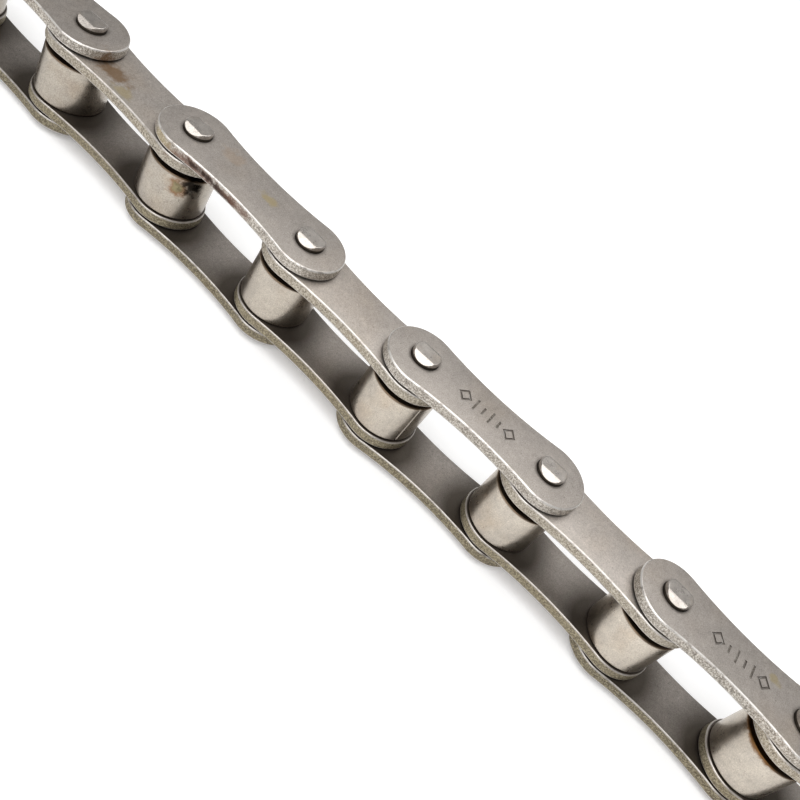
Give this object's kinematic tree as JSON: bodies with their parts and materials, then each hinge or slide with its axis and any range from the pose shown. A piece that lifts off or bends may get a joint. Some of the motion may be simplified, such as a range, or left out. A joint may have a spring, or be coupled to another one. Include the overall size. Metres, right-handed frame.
{
  "type": "roller chain",
  "caption": "Straight-plate steel roller chain of long pitch: inner links with bushed rollers joined by pinned outer links that hinge freely.",
  "frame": {"origin": "centre of the first bush, on its axis midway between the plates", "axes": "+X along the chain towards its last link, +Y across the plates, +Z along the pins and bushes"},
  "size_m": [0.5841, 0.0286, 0.04],
  "materials": {
    "plate_steel": "satin blanked plate with sheared, speckled edges",
    "roller_steel": "satin, lightly mottled",
    "pin_steel": "satin with burnished staked ends",
    "bush_steel": "plain hardened steel"
  },
  "bodies": {
    "inner_link_1": {"inner_plate_upper_1": "plate_steel", "inner_plate_lower_1": "plate_steel", "bush_01": "bush_steel", "bush_02": "bush_steel"},
    "outer_link_1": {"outer_plate_upper_1": "plate_steel", "outer_plate_lower_1": "plate_steel", "pin_01": "pin_steel", "pin_02": "pin_steel"},
    "inner_link_2": {"inner_plate_upper_2": "plate_steel", "inner_plate_lower_2": "plate_steel", "bush_03": "bush_steel", "bush_04": "bush_steel"},
    "outer_link_2": {"outer_plate_upper_2": "plate_steel", "outer_plate_lower_2": "plate_steel", "pin_03": "pin_steel", "pin_04": "pin_steel"},
    "inner_link_3": {"inner_plate_upper_3": "plate_steel", "inner_plate_lower_3": "plate_steel", "bush_05": "bush_steel", "bush_06": "bush_steel"},
    "outer_link_3": {"outer_plate_upper_3": "plate_steel", "outer_plate_lower_3": "plate_steel", "pin_05": "pin_steel", "pin_06": "pin_steel"},
    "inner_link_4": {"inner_plate_upper_4": "plate_steel", "inner_plate_lower_4": "plate_steel", "bush_07": "bush_steel", "bush_08": "bush_steel"},
    "outer_link_4": {"outer_plate_upper_4": "plate_steel", "outer_plate_lower_4": "plate_steel", "pin_07": "pin_steel", "pin_08": "pin_steel"},
    "inner_link_5": {"inner_plate_upper_5": "plate_steel", "inner_plate_lower_5": "plate_steel", "bush_09": "bush_steel", "bush_10": "bush_steel"},
    "outer_link_5": {"outer_plate_upper_5": "plate_steel", "outer_plate_lower_5": "plate_steel", "pin_09": "pin_steel", "pin_10": "pin_steel"},
    "inner_link_6": {"inner_plate_upper_6": "plate_steel", "inner_plate_lower_6": "plate_steel", "bush_11": "bush_steel", "bush_12": "bush_steel"},
    "roller_body_01": {"roller_01": "roller_steel"},
    "roller_body_02": {"roller_02": "roller_steel"},
    "roller_body_03": {"roller_03": "roller_steel"},
    "roller_body_04": {"roller_04": "roller_steel"},
    "roller_body_05": {"roller_05": "roller_steel"},
    "roller_body_06": {"roller_06": "roller_steel"},
    "roller_body_07": {"roller_07": "roller_steel"},
    "roller_body_08": {"roller_08": "roller_steel"},
    "roller_body_09": {"roller_09": "roller_steel"},
    "roller_body_10": {"roller_10": "roller_steel"},
    "roller_body_11": {"roller_11": "roller_steel"},
    "roller_body_12": {"roller_12": "roller_steel"}
  },
  "joints": [
    {"name": "link_hinge_01", "type": "hinge", "parent": "outer_link_1", "child": "inner_link_1", "pos_m": [0.0508, 0.00035, 0], "axis": [0, 0, 1], "range_deg": [-148.5, 149.5]},
    {"name": "link_hinge_02", "type": "hinge", "parent": "inner_link_2", "child": "outer_link_1", "pos_m": [0.10159, 0.00115, 0], "axis": [0, 0, -1], "range_deg": [-146.8, 151.2]},
    {"name": "link_hinge_03", "type": "hinge", "parent": "outer_link_2", "child": "inner_link_2", "pos_m": [0.15238, 0, 0], "axis": [0, 0, 1], "range_deg": [-148.6, 149.4]},
    {"name": "link_hinge_04", "type": "hinge", "parent": "inner_link_3", "child": "outer_link_2", "pos_m": [0.20317, -0.0008, 0], "axis": [0, 0, -1], "range_deg": [-148.5, 149.5]},
    {"name": "link_hinge_05", "type": "hinge", "parent": "outer_link_3", "child": "inner_link_3", "pos_m": [0.25396, -0.00204, 0], "axis": [0, 0, 1], "range_deg": [-145, 153]},
    {"name": "link_hinge_06", "type": "hinge", "parent": "outer_link_3", "child": "inner_link_4", "pos_m": [0.30471, 0.00027, 0], "axis": [0, 0, 1], "range_deg": [-145.8, 152.2]},
    {"name": "link_hinge_07", "type": "hinge", "parent": "inner_link_4", "child": "outer_link_4", "pos_m": [0.3555, -0.00027, 0], "axis": [0, 0, -1], "range_deg": [-149.3, 148.7]},
    {"name": "link_hinge_08", "type": "hinge", "parent": "outer_link_4", "child": "inner_link_5", "pos_m": [0.4063, -0.00106, 0], "axis": [0, 0, 1], "range_deg": [-151.9, 146.1]},
    {"name": "link_hinge_09", "type": "hinge", "parent": "inner_link_5", "child": "outer_link_5", "pos_m": [0.45707, 0.00071, 0], "axis": [0, 0, -1], "range_deg": [-151.4, 146.6]},
    {"name": "link_hinge_10", "type": "hinge", "parent": "outer_link_5", "child": "inner_link_6", "pos_m": [0.50786, 0.00035, 0], "axis": [0, 0, 1], "range_deg": [-150, 148]},
    {"name": "roller_spin_01", "type": "hinge", "parent": "inner_link_1", "child": "roller_body_01", "pos_m": [0, 0, 0], "axis": [0, 0, 1], "continuous": true},
    {"name": "roller_spin_02", "type": "hinge", "parent": "inner_link_1", "child": "roller_body_02", "pos_m": [0.0508, 0.00035, 0], "axis": [0, 0, 1], "continuous": true},
    {"name": "roller_spin_03", "type": "hinge", "parent": "inner_link_2", "child": "roller_body_03", "pos_m": [0.10159, 0.00115, 0], "axis": [0, 0, 1], "continuous": true},
    {"name": "roller_spin_04", "type": "hinge", "parent": "inner_link_2", "child": "roller_body_04", "pos_m": [0.15238, 0, 0], "axis": [0, 0, 1], "continuous": true},
    {"name": "roller_spin_05", "type": "hinge", "parent": "inner_link_3", "child": "roller_body_05", "pos_m": [0.20317, -0.0008, 0], "axis": [0, 0, 1], "continuous": true},
    {"name": "roller_spin_06", "type": "hinge", "parent": "inner_link_3", "child": "roller_body_06", "pos_m": [0.25396, -0.00204, 0], "axis": [0, 0, 1], "continuous": true},
    {"name": "roller_spin_07", "type": "hinge", "parent": "inner_link_4", "child": "roller_body_07", "pos_m": [0.30471, 0.00027, 0], "axis": [0, 0, 1], "continuous": true},
    {"name": "roller_spin_08", "type": "hinge", "parent": "inner_link_4", "child": "roller_body_08", "pos_m": [0.3555, -0.00027, 0], "axis": [0, 0, 1], "continuous": true},
    {"name": "roller_spin_09", "type": "hinge", "parent": "inner_link_5", "child": "roller_body_09", "pos_m": [0.4063, -0.00106, 0], "axis": [0, 0, 1], "continuous": true},
    {"name": "roller_spin_10", "type": "hinge", "parent": "inner_link_5", "child": "roller_body_10", "pos_m": [0.45707, 0.00071, 0], "axis": [0, 0, 1], "continuous": true},
    {"name": "roller_spin_11", "type": "hinge", "parent": "inner_link_6", "child": "roller_body_11", "pos_m": [0.50786, 0.00035, 0], "axis": [0, 0, 1], "continuous": true},
    {"name": "roller_spin_12", "type": "hinge", "parent": "inner_link_6", "child": "roller_body_12", "pos_m": [0.55866, 0.00089, 0], "axis": [0, 0, 1], "continuous": true}
  ]
}
